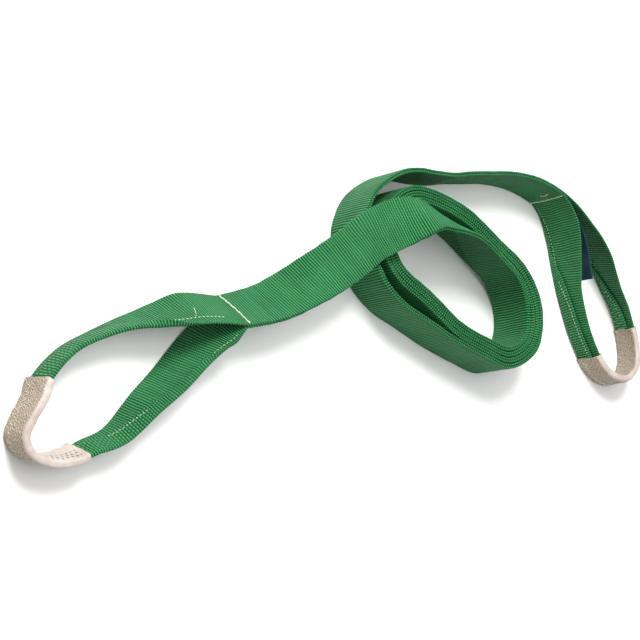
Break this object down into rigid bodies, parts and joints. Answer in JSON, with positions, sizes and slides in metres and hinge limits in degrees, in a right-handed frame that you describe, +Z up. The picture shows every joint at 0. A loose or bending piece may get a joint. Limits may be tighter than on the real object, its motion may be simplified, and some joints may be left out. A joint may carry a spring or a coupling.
{
  "type": "flat web sling",
  "caption": "Two-ply flat webbing lifting sling with folded, sleeved eyes at both ends and a sewn-in label, lying coiled on edge with both eyes laid out.",
  "frame": {"origin": "middle of the bounding box in plan, at the level of the floor the sling lies on", "axes": "+X along the longest side from the near eye to the far eye, +Y to the side the coil bows out to, +Z up"},
  "size_m": [0.9727, 0.3204, 0.107],
  "materials": {
    "webbing": "coarse crosswise ribbed weave, matt with a slight sheen on the ribs",
    "sleeve": "undyed split leather, worn and fibrous",
    "label": "blank woven label, matt",
    "thread": "twisted sewing thread"
  },
  "bodies": {
    "coil": {"coil_outer_ply": "webbing", "coil_inner_ply": "webbing"},
    "near_tail": {"near_tail_upper_ply": "webbing", "near_tail_lower_ply": "webbing", "near_join_stitch": "thread"},
    "near_eye": {"near_eye_web": "webbing", "near_sleeve": "sleeve", "near_sleeve_thread": "thread", "near_eye_seam_out": "thread", "near_eye_seam_back": "thread"},
    "far_tail": {"far_tail_outer_ply": "webbing", "far_tail_inner_ply": "webbing", "far_join_stitch": "thread"},
    "far_eye": {"far_eye_web": "webbing", "far_sleeve": "sleeve", "far_sleeve_thread": "thread", "far_eye_seam_out": "thread", "far_eye_seam_back": "thread"},
    "label_tag": {"label": "label"}
  },
  "joints": [
    {"name": "near_tail_lift", "type": "hinge", "parent": "coil", "child": "near_tail", "pos_m": [0.0468, 0.0965, 0.0745], "axis": [-0.1344, 0.9565, -0.2588], "range_deg": [0, 60]},
    {"name": "near_eye_lift", "type": "hinge", "parent": "near_tail", "child": "near_eye", "pos_m": [-0.1924, 0.0312, 0.0339], "axis": [-0.0409, 0.6548, -0.7547], "range_deg": [0, 60]},
    {"name": "far_tail_swing", "type": "hinge", "parent": "coil", "child": "far_tail", "pos_m": [0.1361, 0.1535, 0.03], "axis": [0, 0, 1], "range_deg": [0, 60]},
    {"name": "far_eye_swing", "type": "hinge", "parent": "far_tail", "child": "far_eye", "pos_m": [0.3652, 0.103, 0.03], "axis": [0, 0, 1], "range_deg": [0, 60]},
    {"name": "label_flap", "type": "hinge", "parent": "far_eye", "child": "label_tag", "pos_m": [0.378, 0.084, 0.03], "axis": [0, 0, 1], "range_deg": [-5, 15]}
  ]
}
